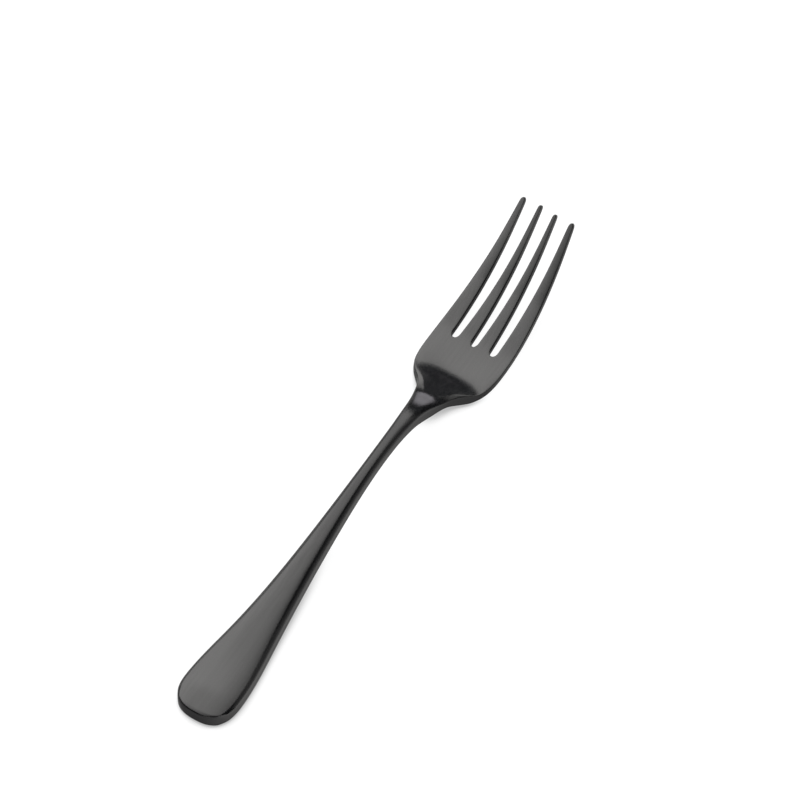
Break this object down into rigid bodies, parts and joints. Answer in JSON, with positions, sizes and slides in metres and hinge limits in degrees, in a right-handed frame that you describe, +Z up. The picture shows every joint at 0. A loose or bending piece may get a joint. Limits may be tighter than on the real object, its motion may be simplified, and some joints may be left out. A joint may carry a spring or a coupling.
{
  "type": "dessert fork",
  "caption": "One-piece dessert fork in black satin steel, with a rounded flat handle, a slim crested neck and a shallow head of slender tapering tines that curve up.",
  "frame": {"origin": "on the table under the middle of the fork's box, as it lies with its tines curving up", "axes": "+Y from the handle's end to the tine tips, +X across to the right of someone who holds the handle with the tines pointing away, +Z up from the table"},
  "size_m": [0.0242, 0.1812, 0.0206],
  "materials": {
    "black_steel": "satin black coating over finely brushed stainless steel"
  },
  "bodies": {
    "root": {"fork": "black_steel"}
  },
  "joints": []
}
